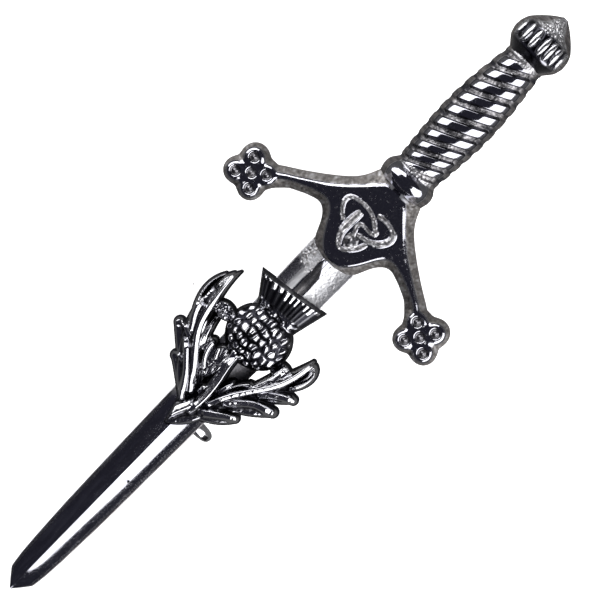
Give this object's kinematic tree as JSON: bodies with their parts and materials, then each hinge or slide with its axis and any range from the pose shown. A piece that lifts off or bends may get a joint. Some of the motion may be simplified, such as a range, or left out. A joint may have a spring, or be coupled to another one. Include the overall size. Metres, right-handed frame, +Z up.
{
  "type": "kilt pin",
  "caption": "Sword-shaped kilt pin of dark cast metal, with a guard, a raised knot, a spiral grip and a thistle over the blade, lying face up on its pin and catch.",
  "frame": {"origin": "the middle of the overall box on the surface that the pin lies on, under the middle of the sword's length", "axes": "+Y along the sword from the point to the pommel, +Z up out of the decorated face, +X to the right across the blade when the face is seen with the pommel up"},
  "size_m": [0.036, 0.0992, 0.0123],
  "materials": {
    "dark_casting": "polished and blackened, with bright rubbed edges and matte grey cast walls",
    "antiqued_casting": "blackened in its hollows and polished on its ridges",
    "bright_wire": "bright drawn steel wire",
    "pin_wire": "drawn steel wire with a ground point"
  },
  "bodies": {
    "root": {"sword": "dark_casting", "thistle": "antiqued_casting", "catch": "bright_wire", "pin_stem": "pin_wire"}
  },
  "joints": []
}
